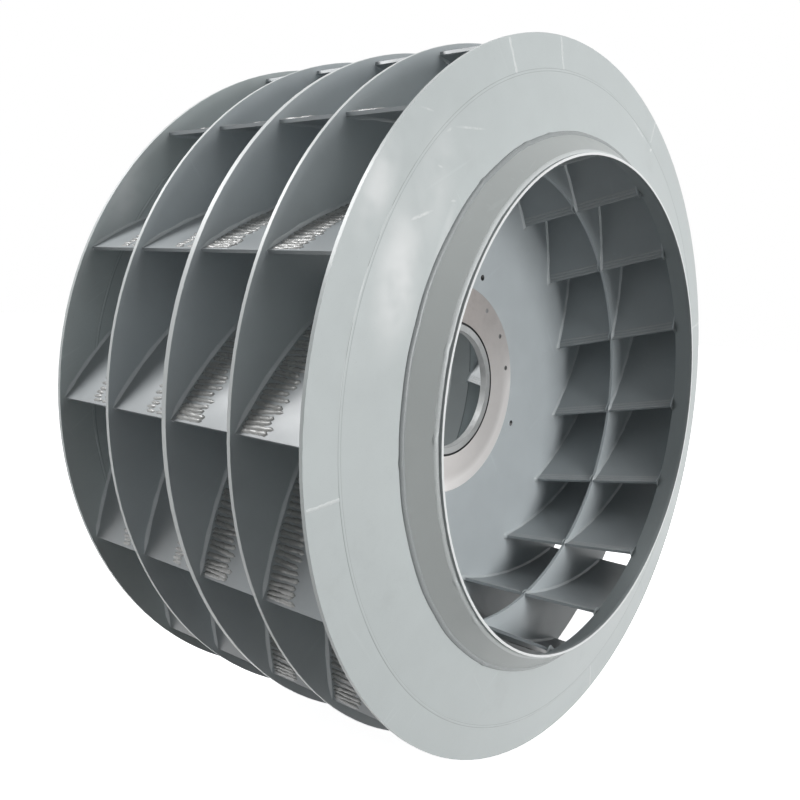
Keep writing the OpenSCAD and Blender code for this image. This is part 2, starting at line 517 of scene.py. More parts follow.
class Effects:
    """The node groups that the finishes share."""

    # Depths between which a sunk face gets painted shade, and the radius beyond which none does
    SUNK_DEPTHS = (0.0003, 0.0012)
    SUNK_WITHIN_R = 0.7
    BAND_BLUR = 0.0006

    def __init__(self) -> None:
        """Build each group once."""
        self.wheel_place = self._wheel_place()
        self.paint_film = self._paint_film()
        self.rim_wear = self._rim_wear()
        self.hollows = self._hollows()
        self.smudges = self._smudges()
        self.scuffs = self._scuffs()
        self.dust = self._dust()

    @staticmethod
    def _wheel_place() -> Effect:
        """Radius, distance along the axis and place on the wheel."""
        effect = Effect(
            "wheel_place", {}, {"Radius": float, "Axial": float, "Place": list, "Rings": list}
        )
        graph = effect.graph
        place = graph.node("ShaderNodeTexCoord").outputs["Object"]
        apart = graph.node("ShaderNodeSeparateXYZ")
        graph.feed(apart.inputs[0], place)
        radius = graph.math(
            "SQRT",
            graph.math(
                "ADD",
                graph.math("MULTIPLY", apart.outputs[0], apart.outputs[0]),
                graph.math("MULTIPLY", apart.outputs[2], apart.outputs[2]),
            ),
        )
        effect.give("Radius", radius)
        effect.give("Axial", apart.outputs[1])
        effect.give("Place", place)
        effect.give("Rings", graph.run("ShaderNodeCombineXYZ", radius, apart.outputs[1], 0.0))
        return effect

    @staticmethod
    def _paint_film() -> Effect:
        """Cloudy tone, uneven gloss and fine grain of a sprayed coat."""
        effect = Effect(
            "paint_film",
            {"Place": [0.0, 0.0, 0.0], "Colour": (0.5, 0.5, 0.5, 1.0), "Cloud": 0.1, "Gloss": 0.4},
            {"Colour": tuple, "Roughness": float, "Height": float},
        )
        graph = effect.graph
        place = effect.given["Place"]
        broad = graph.noise(place, scale=2.3, detail=3.0, rough=0.55)
        fine = graph.noise(place, scale=19.0, detail=4.0, rough=0.6)
        tone = graph.math("MULTIPLY_ADD", broad, 0.7, graph.math("MULTIPLY", fine, 0.3))
        centred = graph.math("SUBTRACT", tone, 0.5)
        factor = graph.math("MULTIPLY_ADD", centred, effect.given["Cloud"], 1.0)
        effect.give("Colour", graph.scaled(effect.given["Colour"], factor))
        uneven = graph.math("SUBTRACT", fine, 0.5)
        rough = graph.math("MULTIPLY_ADD", uneven, 0.35, effect.given["Gloss"])
        effect.give("Roughness", rough)
        peel = graph.noise(place, scale=260.0, detail=2.0, rough=0.5)
        wave = graph.noise(place, scale=34.0, detail=1.0, rough=0.4)
        effect.give("Height", graph.math("MULTIPLY_ADD", wave, 2.5, peel))
        return effect

    @staticmethod
    def _rim_wear() -> Effect:
        """Mask of a plate's edge that lies at a given radius."""
        effect = Effect(
            "rim_wear",
            {"Place": [0.0, 0.0, 0.0], "Radius": 0.0, "Edge": 0.8, "Width": 0.001},
            {"Mask": float},
        )
        graph = effect.graph
        grain = graph.noise(effect.given["Place"], scale=90.0, detail=3.0, rough=0.6)
        chip = graph.math("SUBTRACT", grain, 0.5)
        uneven = graph.math("MULTIPLY", chip, effect.given["Width"])
        start = graph.math("SUBTRACT", effect.given["Edge"], effect.given["Width"])
        worn = graph.math("ADD", effect.given["Radius"], uneven)
        effect.give("Mask", graph.span(worn, start, effect.given["Edge"]))
        return effect

    @staticmethod
    def _hollows() -> Effect:
        """Mask of what lies below a plate's face, or between two radii, where shade is painted."""
        effect = Effect(
            "hollows",
            {"Radius": 0.0, "Axial": 0.0, "Face": 0.0, "From": 0.0, "To": 0.0},
            {"Mask": float},
        )
        graph = effect.graph
        given = effect.given
        height = graph.math("ABSOLUTE", given["Axial"])
        sunk = graph.span(graph.math("SUBTRACT", given["Face"], height), *Effects.SUNK_DEPTHS)
        inner = graph.math("LESS_THAN", given["Radius"], Effects.SUNK_WITHIN_R)
        beyond = graph.math("SUBTRACT", given["Radius"], given["From"])
        within = graph.math("SUBTRACT", given["To"], given["Radius"])
        band = graph.math(
            "MULTIPLY",
            graph.span(beyond, 0.0, Effects.BAND_BLUR),
            graph.span(within, 0.0, Effects.BAND_BLUR),
        )
        effect.give("Mask", graph.math("MAXIMUM", graph.math("MULTIPLY", sunk, inner), band))
        return effect

    @staticmethod
    def _smudges() -> Effect:
        """Mask of pale marks on the shrouds: narrow rubs, and soft patches of painted highlight."""
        effect = Effect("smudges", {"Place": [0.0, 0.0, 0.0]}, {"Mask": float})
        graph = effect.graph
        place = effect.given["Place"]
        fine = graph.noise(place, scale=60.0, detail=4.0, rough=0.7)
        coarse = graph.noise(place, scale=14.0, detail=2.0, rough=0.5)
        streaked, cloudy = graph.span(fine, 0.30, 0.62), graph.span(coarse, 0.15, 0.60)
        mask: Value = 0.0
        for pale_mark in RUBS_AND_SHEENS:
            local = graph.fill(
                graph.node("ShaderNodeMapping", vector_type="TEXTURE"),
                Vector=place,
                Location=(pale_mark.x, 0.0, pale_mark.z),
                Rotation=(0.0, -pale_mark.turn, 0.0),
                Scale=(pale_mark.length / 2, RubAndSheen.REACH, pale_mark.width / 2),
            )
            near = graph.span(graph.measure("LENGTH", local.outputs[0]), 1.0, 0.1)
            grain = cloudy if pale_mark.soft else streaked
            shown = graph.math("MULTIPLY", graph.math("MULTIPLY", near, pale_mark.strength), grain)
            mask = graph.math("MAXIMUM", mask, shown)
        effect.give("Mask", mask)
        return effect

    @staticmethod
    def _scuffs() -> Effect:
        """Mask of thin handling marks that run across the plates."""
        effect = Effect(
            "scuffs", {"Place": [0.0, 0.0, 0.0], "Amount": 0.5}, {"Mask": float}
        )
        graph = effect.graph
        mask: Value = 0.0
        for turn, stretch in ((0.6, 38.0), (-0.9, 52.0), (2.1, 30.0)):
            spin = graph.node("ShaderNodeVectorRotate", rotation_type="Y_AXIS")
            graph.feed(spin.inputs["Vector"], effect.given["Place"])
            graph.feed(spin.inputs["Angle"], turn)
            long_way = graph.vector("MULTIPLY", spin.outputs[0], (stretch * 3, stretch, 1.8))
            lines = graph.noise(long_way, scale=1.0, detail=1.0, rough=0.4)
            mask = graph.math("MAXIMUM", mask, graph.span(lines, 0.70, 0.76))
        patches = graph.noise(effect.given["Place"], scale=4.0, detail=2.0)
        where = graph.span(patches, 0.50, 0.66)
        both = graph.math("MULTIPLY", graph.math("MULTIPLY", mask, where), effect.given["Amount"])
        effect.give("Mask", both)
        return effect

    @staticmethod
    def _dust() -> Effect:
        """Mask of fine specks and soft patches of dust."""
        effect = Effect(
            "dust", {"Place": [0.0, 0.0, 0.0], "Amount": 0.5}, {"Mask": float}
        )
        graph = effect.graph
        fine = graph.noise(effect.given["Place"], scale=620.0, detail=1.0)
        coarse = graph.noise(effect.given["Place"], scale=7.0, detail=5.0, rough=0.7)
        smudge = graph.math("MULTIPLY", graph.span(coarse, 0.55, 0.8), 0.45)
        together = graph.math("MAXIMUM", graph.span(fine, 0.71, 0.76), smudge)
        effect.give("Mask", graph.math("MULTIPLY", together, effect.given["Amount"]))
        return effect


def new_material(name: str) -> tuple[bpy.types.Material, Graph, bpy.types.Node]:
    """Make a material with an empty Principled BSDF.

    Args:
        name: Name of the material.

    Returns:
        The material, its graph and its shader.
    """
    made = bpy.data.materials.new(name)
    made.use_nodes = True
    graph = Graph(made.node_tree)
    return made, graph, made.node_tree.nodes["Principled BSDF"]


@dataclass(frozen=True)
class PaintFinish:
    """Sprayed satin paint on welded plate."""

    name: str
    colour: Colour
    edge_r: float = 0.0
    edge_width: float = 0.0015
    edge_colour: Colour = srgb(214, 219, 219)
    hollow_face: float = 0.0
    hollow_r: float = 0.0
    lip_face: float = 0.0
    seam_r: float = 0.0
    seam_width: float = 0.0018
    seam_gap: float = 0.0052
    seam_shade: float = 0.55
    # Strength of the pale rubs and the painted highlights
    smudge: float = 0.0
    cloud: float = 0.22
    gloss: float = 0.40
    scuff: float = 0.15
    scuff_gain: float = 1.35
    dust: float = 0.30
    dust_and_crease_shade: float = 0.55
    bump: float = 0.10
    grain_height: float = 0.0006
    coat: float = 0.12
    coat_rough: float = 0.25
    rubbed_and_sheen_colour: Colour = srgb(244, 246, 246)
    hollow_shade_colour: Colour = srgb(52, 54, 55)

    def make(self, effects: Effects) -> bpy.types.Material:
        """Build the material.

        Args:
            effects: The shared node groups.

        Returns:
            The paint.
        """
        made, graph, shader = new_material(self.name)
        where = effects.wheel_place.place(graph)
        place = where["Place"]
        film = effects.paint_film.place(
            graph, Place=place, Colour=(*self.colour, 1.0), Cloud=self.cloud, Gloss=self.gloss
        )
        scuffs = effects.scuffs.place(graph, Place=place, Amount=self.scuff)["Mask"]
        dust = effects.dust.place(graph, Place=place, Amount=self.dust)["Mask"]
        light = tuple(min(1.0, channel * self.scuff_gain) for channel in self.colour)
        # Darker paint: for dust specks, and as painted shade in the seam's crevices
        dark = tuple(channel * self.dust_and_crease_shade for channel in self.colour)
        tone = graph.blend(scuffs, film["Colour"], (*light, 1.0))
        tone = graph.blend(dust, tone, (*dark, 1.0))
        # Pale rubs and soft painted highlights on the shroud, in a near-white colour
        if self.smudge:
            marks = effects.smudges.place(graph, Place=place)["Mask"]
            rubbed_and_sheen = graph.math("MULTIPLY", marks, self.smudge)
            tone = graph.blend(rubbed_and_sheen, tone, (*self.rubbed_and_sheen_colour, 1.0))
        # Two dark lines beside the fold seam: painted shade of its crevices, with some grime
        if self.seam_r:
            lines: Value = 0.0
            for middle in (self.seam_r - self.seam_gap / 2, self.seam_r + self.seam_gap / 2):
                line = effects.hollows.place(
                    graph, Radius=where["Radius"], From=middle - self.seam_width / 2,
                    To=middle + self.seam_width / 2,
                )["Mask"]
                lines = graph.math("MAXIMUM", lines, line)
            lines = graph.math("MULTIPLY", lines, self.seam_shade)
            tone = graph.blend(lines, tone, (*dark, 1.0))
        if self.edge_r or self.lip_face:
            edge = graph.math("ABSOLUTE", where["Axial"]) if self.lip_face else where["Radius"]
            worn = effects.rim_wear.place(
                graph, Place=place, Radius=edge, Edge=self.lip_face or self.edge_r,
                Width=self.edge_width,
            )["Mask"]
            tone = graph.blend(worn, tone, (*self.edge_colour, 1.0))
        # Painted shade: faces sunk below the disc's face, such as the insides of holes, and the disc
        # out to hollow_r, under the gap round the sleeve
        if self.hollow_face:
            sunk = effects.hollows.place(
                graph, Radius=where["Radius"], Axial=where["Axial"], Face=self.hollow_face,
                To=self.hollow_r,
            )["Mask"]
            tone = graph.blend(sunk, tone, (*self.hollow_shade_colour, 1.0))
        graph.fill(
            shader, Base_Color=tone, Roughness=film["Roughness"], Coat_Weight=self.coat,
            Coat_Roughness=self.coat_rough,
            Normal=graph.bump(film["Height"], self.bump, self.grain_height),
        )
        return made


@dataclass(frozen=True)
class TurnedSteelFinish:
    """Bare steel with the rings left by a lathe tool, painted shade in its groove and, where given, a
    painted highlight.
    """

    name: str
    colour: Colour
    stain: Colour
    rough: float = 0.34
    metal: float = 0.8
    groove: tuple[float, float] = (0.0, 0.0)
    painted_highlight: tuple[float, float, float] = (0.0, 0.0, 0.0)
    ring_scale: float = 900.0
    ring_depth: float = 0.35
    ring_height: float = 0.0003
    brushed: float = 0.7
    wide_sheen: float = 0.62
    rim_sheen: float = 0.72
    sheen_colour: Colour = srgb(255, 252, 250)
    gap_shade_colour: Colour = srgb(40, 40, 41)

    def make(self, effects: Effects) -> bpy.types.Material:
        """Build the material.

        Args:
            effects: The shared node groups.

        Returns:
            The steel.
        """
        made, graph, shader = new_material(self.name)
        where = effects.wheel_place.place(graph)
        rings = graph.noise(where["Rings"], scale=self.ring_scale, detail=2.0, rough=0.5)
        blotch = graph.noise(where["Place"], scale=16.0, detail=5.0, rough=0.62)
        stained = graph.blend(
            graph.span(blotch, 0.42, 0.70), (*self.colour, 1.0), (*self.stain, 1.0)
        )
        shade = graph.math("MULTIPLY_ADD", graph.math("SUBTRACT", rings, 0.5), 0.22, 1.0)
        tone = graph.scaled(stained, shade)
        # Painted highlight: the ring gets lighter towards one side, most of all near its outer rim,
        # and stays darker on the far side
        turn, inner, outer = self.painted_highlight
        if outer:
            heading = graph.vector("NORMALIZE", where["Place"])
            ahead = (math.cos(turn), 0.0, math.sin(turn))
            facing = graph.measure("DOT_PRODUCT", heading, ahead)
            wide = graph.span(facing, -0.7, 0.9)
            rim = graph.span(where["Radius"], inner, outer)
            narrow = graph.math("MULTIPLY", graph.span(facing, 0.30, 0.95), rim)
            spread = graph.math("MULTIPLY", wide, self.wide_sheen)
            sheen = graph.math("MULTIPLY_ADD", narrow, self.rim_sheen, spread)
            tone = graph.blend(sheen, tone, (*self.sheen_colour, 1.0))
        # Painted shade on the faces between the groove radii, in the gap between the sleeve and the
        # facing
        gap_shade = effects.hollows.place(
            graph, Radius=where["Radius"], Axial=1.0, From=self.groove[0], To=self.groove[1]
        )["Mask"]
        tone = graph.blend(gap_shade, tone, (*self.gap_shade_colour, 1.0))
        lathe = graph.node("ShaderNodeTangent", direction_type="RADIAL", axis="Y")
        graph.fill(
            shader, Base_Color=tone, Metallic=self.metal, Anisotropic=self.brushed,
            Tangent=lathe.outputs[0],
            Roughness=graph.math("MULTIPLY_ADD", graph.math("SUBTRACT", blotch, 0.5), 0.3, self.rough),
            Normal=graph.bump(rings, self.ring_depth, self.ring_height),
        )
        return made


@dataclass(frozen=True)
class WeldFinish:
    """Paint over weld metal, with the ripples of the bead and painted highlights on their crests."""

    name: str
    colour: Colour
    gloss: float = 0.36
    ripple: float = 0.5
    ripple_scale: float = 300.0
    ripple_height: float = 0.0012
    highlight: float = 0.35
    crest_gain: float = 1.5
    cloud: float = 0.3
    coat: float = 0.25
    coat_rough: float = 0.2

    def make(self, effects: Effects) -> bpy.types.Material:
        """Build the material.

        Args:
            effects: The shared node groups.

        Returns:
            The painted weld metal.
        """
        made, graph, shader = new_material(self.name)
        place = effects.wheel_place.place(graph)["Place"]
        film = effects.paint_film.place(
            graph, Place=place, Colour=(*self.colour, 1.0), Cloud=self.cloud, Gloss=self.gloss
        )
        ripples = graph.noise(place, scale=self.ripple_scale, detail=3.0, rough=0.6)
        # Painted highlight: ripple crests are lightened towards a brighter colour
        crest = graph.math("MULTIPLY", graph.span(ripples, 0.55, 0.75), self.highlight)
        light = tuple(min(1.0, channel * self.crest_gain) for channel in self.colour)
        graph.fill(
            shader, Base_Color=graph.blend(crest, film["Colour"], (*light, 1.0)),
            Roughness=film["Roughness"], Coat_Weight=self.coat, Coat_Roughness=self.coat_rough,
            Normal=graph.bump(ripples, self.ripple, self.ripple_height),
        )
        return made


@dataclass
class Draft:
    """Points and faces of one mesh while it is being made."""

    points: list[tuple[float, float, float]] = field(default_factory=list)
    faces: list[tuple[int, ...]] = field(default_factory=list)
    sharp: float = math.radians(70)

    def loft(self, sections: Sequence[np.ndarray], closed: bool = False) -> None:
        """Join equal rings of points into a closed skin.

        Args:
            sections: One ring of points for each station along the path.
            closed: Whether the last station joins the first one.
        """
        first = len(self.points)
        count = len(sections[0])
        for section in sections:
            self.points.extend(tuple(point) for point in section)
        stations = len(sections)
        last = stations if closed else stations - 1
        for i in range(last):
            here, there = first + i * count, first + (i + 1) % stations * count
            for j in range(count):
                k = (j + 1) % count
                self.faces.append((here + j, here + k, there + k, there + j))
        if not closed:
            self.faces.append(tuple(first + j for j in reversed(range(count))))
            end = first + (stations - 1) * count
            self.faces.append(tuple(end + j for j in range(count)))

    def finish(self, name: str, material: bpy.types.Material, slot: str) -> bpy.types.Object:
        """Turn the draft into a piece that rides on the wheel.

        Args:
            name: Name of the piece.
            material: Its finish.
            slot: The record's material slot it belongs to. Not used.

        Returns:
            The new object.
        """
        mesh = bpy.data.meshes.new(name)
        mesh.from_pydata(self.points, [], self.faces)
        shape = bmesh.new()
        shape.from_mesh(mesh)
        bmesh.ops.recalc_face_normals(shape, faces=shape.faces)
        shape.to_mesh(mesh)
        shape.free()
        mesh.shade_smooth()
        mesh.set_sharp_from_angle(angle=self.sharp)
        mesh.materials.append(material)
        made = bpy.data.objects.new(name, mesh)
        bpy.context.collection.objects.link(made)
        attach(made, "root")
        LOG.info("%s: %d faces", name, len(mesh.polygons))
        return made


def on_wheel(flat: Sequence[float], height: float, side: Side) -> np.ndarray:
    """A point of the wheel from its place across the axis and its height above the middle plane."""
    return np.array([flat[0], side.value * height, flat[1]])


def half_round(
    middle: np.ndarray, across: np.ndarray, up: np.ndarray, wide: float, high: float, points: int
) -> np.ndarray:
    """Section of a bead that lies on a plate.

    Args:
        middle: Middle of the bead's foot.
        across: Way across the bead.
        up: Way out of the plate.
        wide: Half the bead's width.
        high: Height of the bead above its foot.
        points: Number of points.

    Returns:
        The points from one edge of the bead to the other.
    """
    turns = np.linspace(0.0, math.pi, points)
    return np.array([
        middle - wide * math.cos(turn) * across + high * math.sin(turn) * up for turn in turns
    ])


@dataclass
class BayMetal:
    """Weld metal that repeats on all blades of one bay."""

    sizes: WheelSizes
    side: Side
    bay: Bay

    def bounds(self, radius: float) -> tuple[float, float]:
        """Heights of the plates on both sides of the bay.

        Args:
            radius: Distance from the wheel's axis.

        Returns:
            The height of the plate nearer the wheel's middle plane, and of the other one.
        """
        if self.bay is Bay.INNER:
            return self.sizes.disc_face, self.sizes.ring_back
        return self.sizes.ring_front, self.sizes.shroud_inside(radius)

    def blades(self) -> list[BladeArc]:
        """The bay's blades in order round the wheel."""
        return [BladeArc(self.sizes, number) for number in range(self.sizes.blade_count)]

    def name(self, what: str) -> str:
        """Name of the bay's piece of a kind."""
        return f"{self.side.name.lower()}_{self.bay.value}_{what}"

    def luck(self, what: str) -> random.Random:
        """Source of the unevenness of one kind of metal."""
        return random.Random(f"{SEED} {what} {self.side.name} {self.bay.value}")


@dataclass
class BladeWelds(BayMetal):
    """Fillet welds that run round the feet of one bay's blades, on the plates at both sides."""

    leg: float = 0.0062
    spacing: float = 0.0085
    bury: float = 0.0004
    waviness: float = 0.10
    roughness: float = 0.06
    end_reach: float = 0.014
    tip_shrink: float = 0.72
    leading_swell: float = 0.35
    ring_room: float = 0.0014
    section: tuple[tuple[float, float], ...] = (
        (0.0, 0.0), (1.0, 0.0), (0.64, 0.19), (0.41, 0.41), (0.19, 0.64), (0.0, 1.0)
    )

    def weld(self, draft: Draft, blade: BladeArc, outer: bool, rng: random.Random) -> None:
        """Add the weld round one end of one blade.

        Args:
            draft: Mesh that takes the weld.
            blade: The blade.
            outer: Whether the weld lies at the plate further from the middle plane.
            rng: Source of the weld's unevenness.
        """
        into_bay = -1.0 if outer else 1.0
        lead_height = self.bounds(self.sizes.leading_r(self.sizes.ring_middle))[outer]
        on_ring = outer == (self.bay is Bay.INNER)
        ring = blade.outline(lead_height, self.spacing)
        length = max(away for _, _, away in ring)
        phase = rng.uniform(0.0, math.tau)
        sections = []
        for i, (point, out, away) in enumerate(ring):
            swell = 1.0 + self.waviness * math.sin(phase + 0.9 * i)
            swell += rng.uniform(-self.roughness, self.roughness)
            swell += self.leading_swell * math.exp(-((away / self.end_reach) ** 2))
            swell -= self.tip_shrink * math.exp(-(((length - away) / self.end_reach) ** 2))
            leg = self.ring_room if on_ring and away < self.leg else self.leg * swell
            height = self.bounds(float(np.hypot(*point)))[outer]
            sections.append(np.array([
                on_wheel(
                    point + (across * leg - self.bury) * out,
                    height + into_bay * (up * leg - self.bury),
                    self.side,
                )
                for across, up in self.section
            ]))
        draft.loft(sections, closed=True)

    def build(self, material: bpy.types.Material) -> bpy.types.Object:
        """Make all the welds of the bay.

        Args:
            material: Finish of the welds.

        Returns:
            The piece.
        """
        rng = self.luck("welds")
        draft = Draft()
        for blade in self.blades():
            for outer in (False, True):
                self.weld(draft, blade, outer, rng)
        return draft.finish(self.name("fillet_welds"), material, "blade_paint")


@dataclass(frozen=True)
class Bead:
    """One short weld bead on a blade's face."""

    place: tuple[np.ndarray, np.ndarray, np.ndarray]
    start: float
    length: float
    width: float
    rise: float
    lean: float
    side: Side
    stations: int
    points: int = 6
    bury: float = 0.0004
    near_taper: float = 0.45
    far_taper: float = 0.60
    least: float = 0.12

    def lay(self, draft: Draft, rng: random.Random) -> None:
        """Add the bead, which runs along the axis.

        Args:
            draft: Mesh that takes the bead.
            rng: Source of the bead's unevenness.
        """
        point, inwards, out = self.place
        across, up = on_wheel(inwards, 0.0, self.side), on_wheel(out, 0.0, self.side)
        sections = []
        for i in range(self.stations):
            share = i / (self.stations - 1)
            near = min(1.0, share * self.length / (self.near_taper * self.width))
            far = min(1.0, (1.0 - share) * self.length / (self.far_taper * self.width))
            taper = math.sqrt(1.0 - (1.0 - near) ** 2) * math.sqrt(1.0 - (1.0 - far) ** 2)
            size = max(self.least, taper)
            wide = self.width / 2 * size * rng.uniform(0.80, 1.10)
            high = self.rise * (0.25 + 0.75 * size) * rng.uniform(0.65, 1.25)
            shift = self.lean * (share - 0.5) * self.length + rng.uniform(-0.06, 0.06) * self.width
            flat = point + shift * inwards - self.bury * out
            middle = on_wheel(flat, self.start + share * self.length, self.side)
            sections.append(half_round(middle, across, up, wide, high, self.points))
        draft.loft(sections)


@dataclass
class HardFacing(BayMetal):
    """Rows of short weld beads that armour the blades of one bay against wear."""

    pitch: float = 0.0122
    crowded_reach: float = 2.4
    crowded_pitch: float = 0.68
    scatter: float = 0.0010
    width: float = 0.0098
    rise: float = 0.0030
    band: float = 0.43
    reach: float = 0.285
    edge_gap: float = 0.008
    tip_gap: float = 0.004
    lean: float = 0.08
    dash: float = 0.16
    dash_width: float = 0.78
    dash_rise: float = 0.0022

    def spans(self, room: float, rng: random.Random) -> list[tuple[float, float]]:
        """Where the beads of one row start and how long they are.

        Args:
            room: Width of the bay.
            rng: Source of the beads' unevenness.

        Returns:
            One long bead in the front half, and two dashes with a gap in the rear half.
        """
        if self.side is Side.FRONT:
            return [(self.edge_gap, room * self.band * rng.uniform(0.88, 1.08))]
        first = self.edge_gap + rng.uniform(0.0, 0.006)
        second = room * (self.band - self.dash) + rng.uniform(-0.005, 0.005)
        return [(first, room * self.dash), (second, room * self.dash)]

    def build(self, material: bpy.types.Material) -> bpy.types.Object:
        """Make all the beads of the bay.

        Args:
            material: Finish of the beads.

        Returns:
            The piece.
        """
        rng = self.luck("beads")
        draft = Draft()
        low, high = self.bounds(self.sizes.tip_r)
        front = self.side is Side.FRONT
        width = self.width * (1.0 if front else self.dash_width)
        rise = self.rise if front else self.dash_rise
        stations = 14 if front else 6
        for blade in self.blades():
            away = self.tip_gap + self.width / 2
            while away < self.reach:
                place = blade.place(blade.outer_end - away / blade.outer_face_r, 1)
                for start, length in self.spans(high - low, rng):
                    lean = rng.uniform(-self.lean, self.lean)
                    bead = Bead(place, low + start, length, width, rise, lean, self.side, stations)
                    bead.lay(draft, rng)
                crowded = away < self.crowded_reach * self.pitch
                away += self.pitch * (self.crowded_pitch if crowded else 1.0)
                away += rng.uniform(-self.scatter, self.scatter)
        return draft.finish(self.name("hard_facing"), material, "blade_paint")


@dataclass
class LeadingBeads(BayMetal):
    """Three weld beads along each leading edge of one bay, on the face that looks at the eye."""

    count: int = 3
    pitch: float = 0.0085
    width: float = 0.0066
    rise: float = 0.0013
    drift: float = 0.0004
    bury: float = 0.0004
    edge_gap: float = 0.0042
    spacing: float = 0.006
    points: int = 5
    end_sizes: tuple[float, ...] = (0.45, 0.85)

    def bead(self, draft: Draft, blade: BladeArc, away: float, rng: random.Random) -> None:
        """Add one bead.

        Args:
            draft: Mesh that takes the bead.
            blade: Blade that it lies on.
            away: Distance from the leading edge.
            rng: Source of the bead's unevenness.
        """
        low, high = self.bounds(self.sizes.leading_r(self.sizes.fold_face))
        heights = np.arange(low + self.width / 2, high - self.width / 2, self.spacing)
        sections = []
        for i, height in enumerate(heights):
            drift = away + rng.uniform(-self.drift, self.drift)
            angle = blade.leading_end(float(height)) + drift / blade.outer_face_r
            point, inwards, out = blade.place(angle, -1)
            last = min(i, len(heights) - 1 - i)
            size = self.end_sizes[last] if last < len(self.end_sizes) else 1.0
            wide = self.width / 2 * size * rng.uniform(0.88, 1.08)
            rise = self.rise * size * rng.uniform(0.75, 1.2)
            middle = on_wheel(point - self.bury * out, float(height), self.side)
            across, up = on_wheel(inwards, 0.0, self.side), on_wheel(out, 0.0, self.side)
            sections.append(half_round(middle, across, up, wide, rise, self.points))
        draft.loft(sections)

    def build(self, material: bpy.types.Material) -> bpy.types.Object:
        """Make the beads of all the bay's blades.

        Args:
            material: Finish of the beads.

        Returns:
            The piece.
        """
        rng = self.luck("leading")
        draft = Draft()
        for blade in self.blades():
            for row in range(self.count):
                self.bead(draft, blade, self.edge_gap + row * self.pitch, rng)
        return draft.finish(self.name("leading_beads"), material, "blade_paint")


@dataclass
class RingWeld:
    """A weld bead laid round the wheel between two edges, each a radius and a height."""

    side: Side
    name: str
    inner: tuple[float, float]
    outer: tuple[float, float]
    bulge: float
    stations: int = 720
    points: int = 7
    bury: float = 0.0012
    wave: float = 0.0006
    waves: int = 60
    ripple: float = 0.10
    steep: float = 0.6
    kinks: tuple[float, ...] = ()
    kink_depth: float = 0.0016
    kink_reach: float = 0.010

    def kinked(self, angle: float) -> float:
        """How far the bead is inside a kink at an angle round the wheel.

        Args:
            angle: Angle round the wheel.

        Returns:
            0 away from the kinks and 1 in the middle of one.
        """
        share = 0.0
        for kink in self.kinks:
            away = math.remainder(angle - math.radians(kink), math.tau) * self.inner[0]
            share += math.exp(-((away / self.kink_reach) ** 2))
        return share

    def build(self, material: bpy.types.Material, slot: str) -> bpy.types.Object:
        """Make the bead.

        Args:
            material: Finish of the bead.
            slot: The record's material slot.

        Returns:
            The piece.
        """
        rng = random.Random(f"{SEED} {self.name} {self.side.name}")
        offsets = [rng.uniform(-1.0, 1.0) for _ in range(self.waves)]
        offsets.append(offsets[0])
        inner, outer = np.array(self.inner), np.array(self.outer)
        across = (outer - inner) / np.hypot(*(outer - inner))
        up = np.array([-across[1], across[0]])
        sections = []
        for i in range(self.stations):
            angle = i * math.tau / self.stations
            place = i / self.stations * self.waves
            lump = self.kink_depth * self.kinked(angle)
            drift = float(np.interp(place, range(self.waves + 1), offsets)) * self.wave + lump
            crest = self.bulge * (1.0 + rng.uniform(-self.ripple, self.ripple)) + lump
            ring = [inner - self.bury * up]
            for share in np.linspace(0.0, 1.0, self.points):
                lift = crest * math.sin(share * math.pi) ** self.steep
                ring.append(inner + share * (outer - inner) + drift * across + lift * up)
            ring.append(outer - self.bury * up)
            sections.append(np.array([
                (radius * math.cos(angle), self.side.value * height, radius * math.sin(angle))
                for radius, height in ring
            ]))
        draft = Draft()
        draft.loft(sections, closed=True)
        return draft.finish(f"{self.side.name.lower()}_{self.name}", material, slot)


@dataclass
class FlangeSeams:
    """Ground welds that join the segments of one shroud's flange."""

    sizes: WheelSizes
    side: Side
    angles: tuple[float, ...] = (-172.5, -75.0, 14.0, 63.0, 99.0, 113.0)
    width: float = 0.008
    rise: float = 0.0009
    drift: float = 0.0008
    bury: float = 0.0003
    edge_gap: float = 0.003
    stations: int = 16
    points: int = 5

    def build(self, material: bpy.types.Material) -> bpy.types.Object:
        """Make the seams.

        Args:
            material: Finish of the seams.

        Returns:
            The piece.
        """
        rng = random.Random(f"{SEED} seams {self.side.name}")
        draft = Draft()
        first, last = self.sizes.fold_r + self.edge_gap, self.sizes.rim_r - self.edge_gap
        up = on_wheel((0.0, 0.0), 1.0, self.side)
        for degrees in self.angles:
            turn = math.radians(degrees)
            radial = np.array([math.cos(turn), math.sin(turn)])
            across = np.array([-radial[1], radial[0]])
            sections = []
            for radius in np.linspace(first, last, self.stations):
                wide = self.width / 2 * rng.uniform(0.75, 1.15)
                lift = self.rise * rng.uniform(0.6, 1.3)
                flat = radius * radial + rng.uniform(-self.drift, self.drift) * across
                foot = self.sizes.shroud_face(float(radius)) - self.bury
                middle = on_wheel(flat, foot, self.side)
                way = on_wheel(across, 0.0, self.side)
                sections.append(half_round(middle, way, up, wide, lift, self.points))
            draft.loft(sections)
        return draft.finish(f"{self.side.name.lower()}_flange_seams", material, "shroud_paint")


